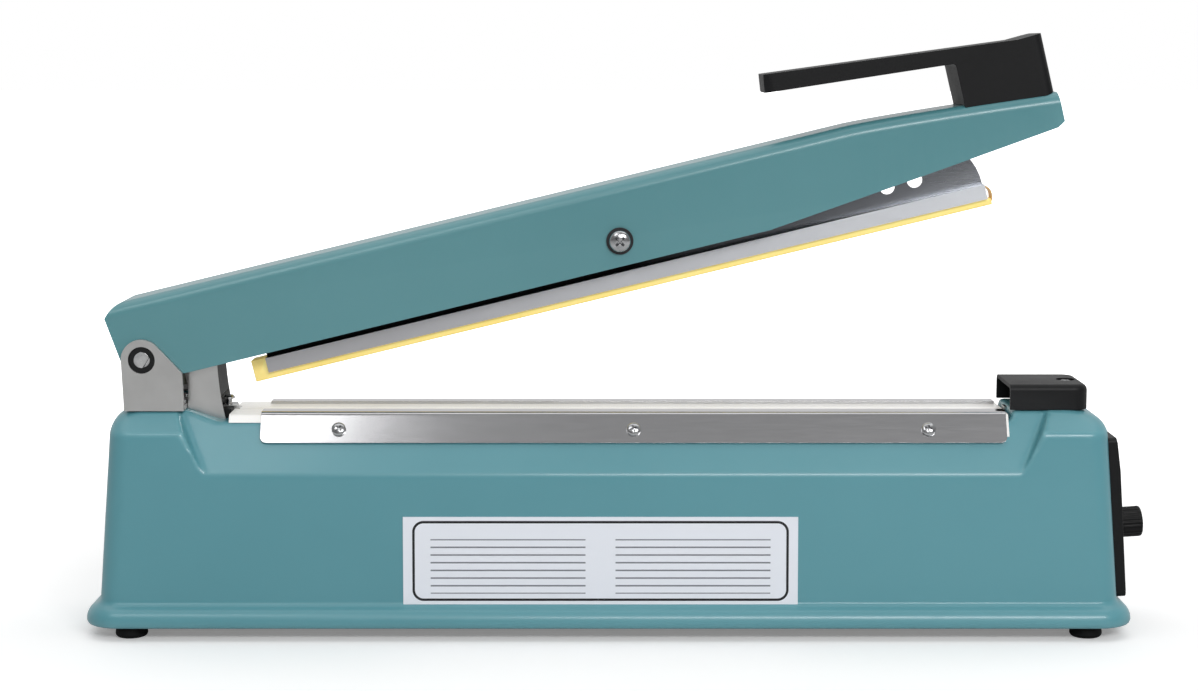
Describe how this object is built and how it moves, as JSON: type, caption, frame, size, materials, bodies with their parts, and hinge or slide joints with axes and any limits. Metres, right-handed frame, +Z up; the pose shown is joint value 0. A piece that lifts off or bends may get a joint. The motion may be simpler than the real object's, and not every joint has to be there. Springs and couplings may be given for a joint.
{
  "type": "impulse bag sealer",
  "caption": "Hand impulse bag heat sealer: teal cast housing, hinged arm with a rocking pressure bar held open by a spring, black handle, timer knob and bare label.",
  "frame": {"origin": "on the surface that the sealer stands on, under the middle of its whole outline", "axes": "+X from the hinge towards the control panel, +Z up, the front face with the label towards -Y"},
  "size_m": [0.431, 0.076, 0.2413],
  "materials": {
    "teal_paint": "glossy teal paint on cast metal",
    "arm_paint": "glossy teal paint on cast metal",
    "zinc_sheet": "zinc plated sheet",
    "hinge_sheet": "satin nickel plated sheet",
    "strip_steel": "bright rolled steel",
    "fastener": "zinc plated",
    "beam_alloy": "extruded",
    "channel_alloy": "extruded, satin",
    "element": "flat resistance band",
    "brass": "bare",
    "cloth": "coated glass cloth",
    "tape": "yellow coated glass tape",
    "silicone": "pale yellow silicone",
    "foot_rubber": "black rubber",
    "black_plastic": "black moulded plastic, lightly textured",
    "grey_plastic": "smoked lens",
    "dark_plastic": "moulded",
    "pale_plastic": "natural nylon",
    "red_plastic": "moulded",
    "board": "coated board",
    "parts": "moulded parts",
    "iron": "varnished laminations",
    "winding": "taped copper winding",
    "label": "bare white film with a dark border",
    "dark_washer": "blackened"
  },
  "bodies": {
    "base": {"base_shell": "teal_paint", "bottom_plate": "zinc_sheet", "rubber_feet": "foot_rubber", "foot_screws": "fastener", "seal_beam": "beam_alloy", "heating_element": "element", "release_cloth": "cloth", "front_clamp_strip": "strip_steel", "rear_clamp_strip": "strip_steel", "clamp_screws": "fastener", "hinge_bracket": "hinge_sheet", "bracket_screws": "fastener", "ear_bushes": "dark_plastic", "hinge_pin": "fastener", "pin_clips": "fastener", "spring_guard": "hinge_sheet", "guard_screw": "fastener", "return_spring": "fastener", "rear_terminal_block": "black_plastic", "element_terminals": "brass", "terminal_screws": "fastener", "terminal_cover": "black_plastic", "cover_screw": "fastener", "control_panel": "black_plastic", "indicator_lamp": "grey_plastic", "timer_body": "dark_plastic", "timer_nut": "fastener", "circuit_board": "board", "board_parts": "parts", "transformer_core": "iron", "transformer_coil": "winding", "transformer_frame": "zinc_sheet", "transformer_screws": "fastener", "switch_body": "dark_plastic", "switch_holder": "zinc_sheet", "cord_inlet": "foot_rubber", "label_plate": "label"},
    "arm": {"arm_shell": "arm_paint", "arm_bushes": "pale_plastic", "switch_tappet": "pale_plastic", "spring_cup": "pale_plastic", "handle": "black_plastic", "handle_screws": "fastener", "rock_screw": "fastener", "rock_nut": "fastener", "rock_washers": "dark_washer", "rock_spacers": "fastener"},
    "press_bar": {"bar_web": "strip_steel", "bar_channel": "channel_alloy", "bar_rivets": "fastener", "silicone_strip": "silicone", "end_tape": "tape"},
    "knob": {"timer_knob": "black_plastic", "timer_shaft": "fastener"},
    "plunger": {"switch_plunger": "red_plastic"}
  },
  "joints": [
    {"name": "arm_hinge", "type": "hinge", "parent": "base", "child": "arm", "pos_m": [-0.19206, 0, 0.1111], "axis": [0, 1, 0], "range_deg": [0, 13.65], "stiffness_Nm_per_rad": 5, "springref_deg": -34.38, "deforming": ["return_spring"]},
    {"name": "bar_rock", "type": "hinge", "parent": "arm", "child": "press_bar", "pos_m": [-0.00022, 0, 0.15892], "axis": [0, 1, 0], "range_deg": [-0.4, 0.4]},
    {"name": "timer_knob_turn", "type": "hinge", "parent": "base", "child": "knob", "pos_m": [0.19886, 0, 0.0405], "axis": [0.9976, 0, 0.0698], "range_deg": [-150, 150]},
    {"name": "switch_press", "type": "slide", "parent": "base", "child": "plunger", "axis": [0, 0, 1], "range_m": [-0.0015, 0], "stiffness_N_per_m": 300, "springref_m": 0.001}
  ]
}
